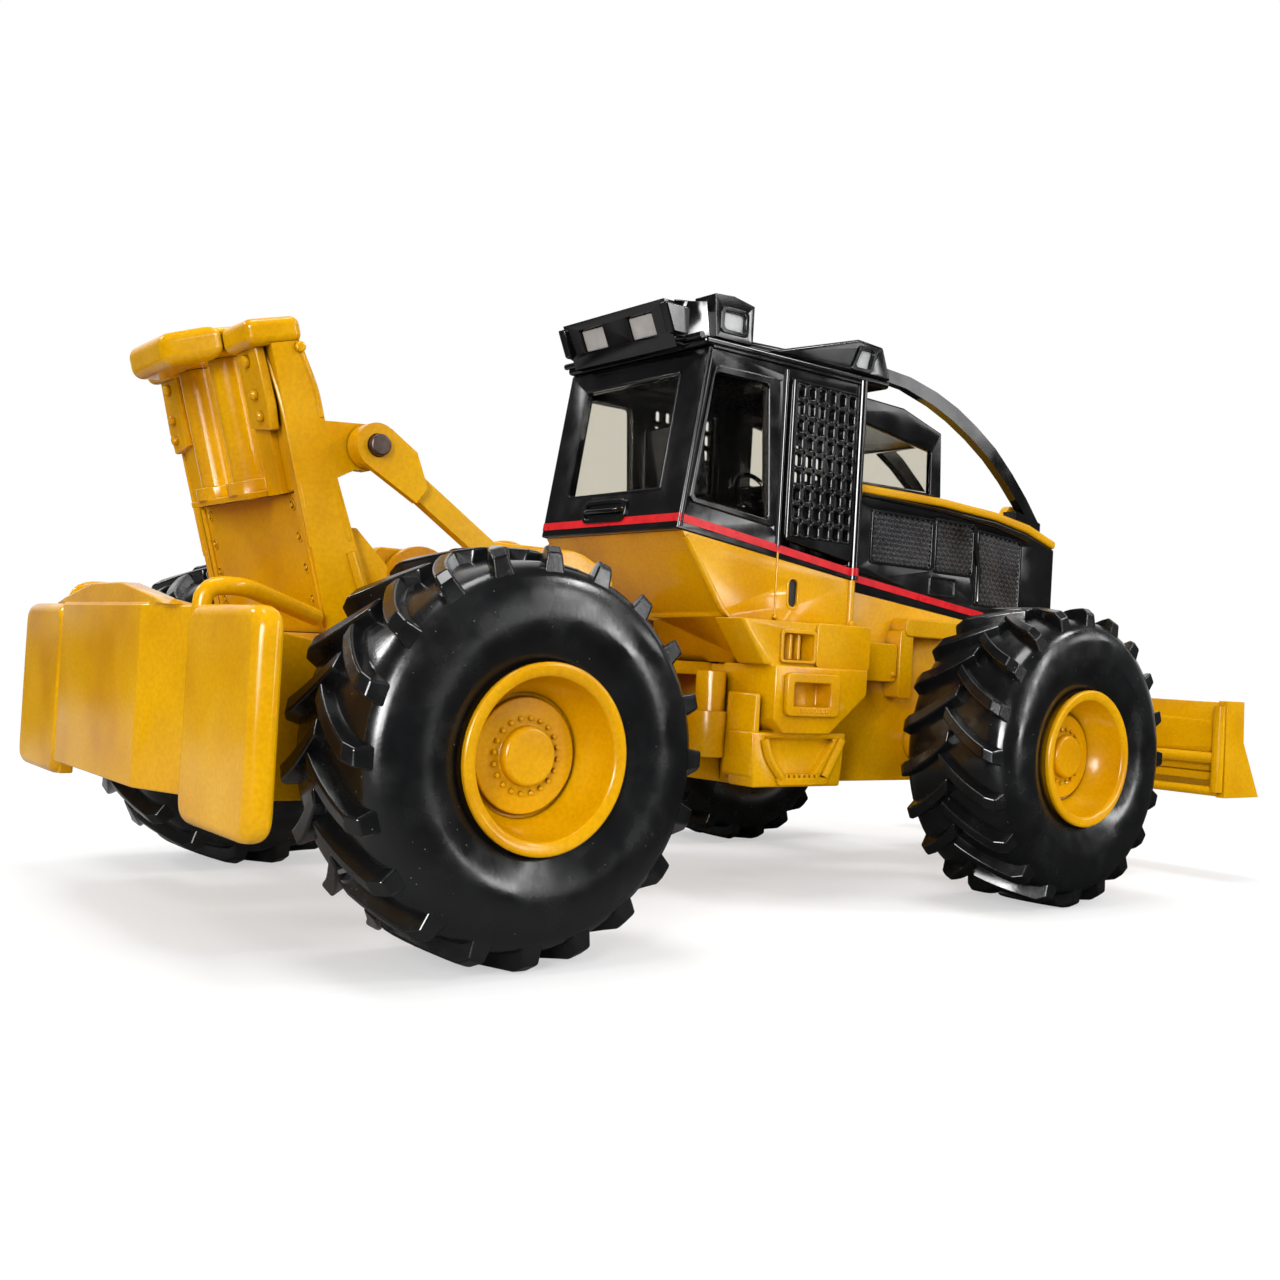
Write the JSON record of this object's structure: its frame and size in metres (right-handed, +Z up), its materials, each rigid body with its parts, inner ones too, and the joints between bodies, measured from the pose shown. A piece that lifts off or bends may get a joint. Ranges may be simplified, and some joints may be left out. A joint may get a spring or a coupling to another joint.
{
  "type": "toy cable skidder",
  "caption": "Die-cast toy of an articulated forestry skidder with lugged tyres, a cab with mesh screens, a leaning rear arch with rollers and a front blade.",
  "frame": {"origin": "on the floor, below the middle of the toy's length and width", "axes": "+X forwards towards the blade, +Y to the machine's left, +Z up"},
  "size_m": [0.14, 0.0662, 0.0626],
  "materials": {
    "yellow_enamel": "gloss",
    "black_plastic": "gloss",
    "tyre_rubber": "satin",
    "clear_plastic": "clear",
    "lamp_plastic": "satin",
    "steel_pins": "satin"
  },
  "bodies": {
    "rear_chassis": {"arch_brace_left": "yellow_enamel", "arch_brace_right": "yellow_enamel", "arch_guard": "yellow_enamel", "arch_plate": "yellow_enamel", "arch_post_left": "yellow_enamel", "arch_post_right": "yellow_enamel", "butt_plate": "yellow_enamel", "butt_rails": "yellow_enamel", "fairlead_rollers": "yellow_enamel", "frame_pins": "steel_pins", "rear_axle": "yellow_enamel", "rear_frame": "yellow_enamel", "winch_drum": "yellow_enamel", "winch_frame": "yellow_enamel"},
    "front_chassis": {"cab_glass": "clear_plastic", "cab_interior": "black_plastic", "cab_lower": "yellow_enamel", "cab_shell": "black_plastic", "door_screen_left": "black_plastic", "door_screen_right": "black_plastic", "front_arm_pins": "steel_pins", "front_axle": "yellow_enamel", "front_frame": "yellow_enamel", "front_light_pods": "black_plastic", "hood_body": "black_plastic", "hood_grilles": "black_plastic", "hood_top": "yellow_enamel", "lamp_lenses": "lamp_plastic", "limb_riser_left": "black_plastic", "limb_riser_right": "black_plastic", "rear_light_bar": "black_plastic", "roof": "black_plastic", "step_box_left": "yellow_enamel", "step_box_right": "yellow_enamel", "windscreen_frame": "black_plastic"},
    "blade": {"blade": "yellow_enamel", "blade_arms": "yellow_enamel"},
    "wheel_front_left": {"rim_front_left": "yellow_enamel", "tyre_front_left": "tyre_rubber"},
    "wheel_front_right": {"rim_front_right": "yellow_enamel", "tyre_front_right": "tyre_rubber"},
    "wheel_rear_left": {"rim_rear_left": "yellow_enamel", "tyre_rear_left": "tyre_rubber"},
    "wheel_rear_right": {"rim_rear_right": "yellow_enamel", "tyre_rear_right": "tyre_rubber"}
  },
  "joints": [
    {"name": "articulation", "type": "hinge", "parent": "rear_chassis", "child": "front_chassis", "pos_m": [-0.012, 0, 0.02], "axis": [0, 0, 1], "range_deg": [-35, 35]},
    {"name": "blade_lift", "type": "hinge", "parent": "front_chassis", "child": "blade", "pos_m": [0.042, 0, 0.0125], "axis": [0, 1, 0], "range_deg": [-25, 18]},
    {"name": "wheel_rear_right_spin", "type": "hinge", "parent": "rear_chassis", "child": "wheel_rear_right", "pos_m": [-0.046, -0.0262, 0.01639], "axis": [0, 1, 0], "continuous": true},
    {"name": "wheel_rear_left_spin", "type": "hinge", "parent": "rear_chassis", "child": "wheel_rear_left", "pos_m": [-0.046, 0.0262, 0.01639], "axis": [0, 1, 0], "continuous": true},
    {"name": "wheel_front_right_spin", "type": "hinge", "parent": "front_chassis", "child": "wheel_front_right", "pos_m": [0.0244, -0.0262, 0.01639], "axis": [0, 1, 0], "continuous": true},
    {"name": "wheel_front_left_spin", "type": "hinge", "parent": "front_chassis", "child": "wheel_front_left", "pos_m": [0.0244, 0.0262, 0.01639], "axis": [0, 1, 0], "continuous": true}
  ]
}
